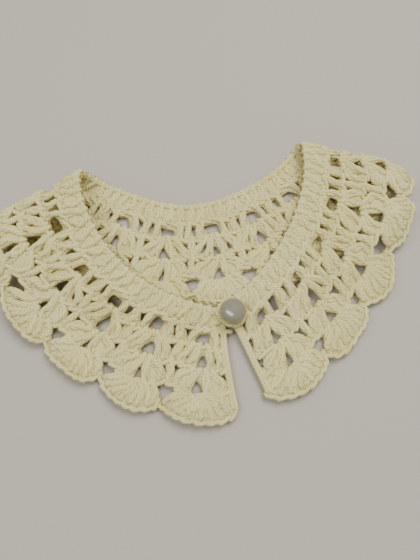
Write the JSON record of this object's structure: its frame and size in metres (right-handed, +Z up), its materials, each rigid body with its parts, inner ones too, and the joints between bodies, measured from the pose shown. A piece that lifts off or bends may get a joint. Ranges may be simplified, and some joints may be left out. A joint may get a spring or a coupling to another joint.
{
  "type": "crochet collar",
  "caption": "Scalloped shell-stitch crochet collar in cream cotton, buttoned at the front with a pearl and laid flat with both fronts folded over the back.",
  "frame": {"origin": "centre of the laid-out collar's bounding box, on the surface it lies on", "axes": "+Z up, -Y towards the front closure and the hem of the fronts, +X towards the wearer's left side, which is the viewer's right"},
  "size_m": [0.2078, 0.136, 0.017],
  "materials": {
    "cream_cotton": "matt spun cotton yarn",
    "pearl": "pearlescent gloss"
  },
  "bodies": {
    "root": {"front_left": "cream_cotton", "shoulder_left": "cream_cotton", "back": "cream_cotton", "shoulder_right": "cream_cotton", "front_right": "cream_cotton", "button_loop": "cream_cotton", "pearl_button": "pearl"}
  },
  "joints": []
}
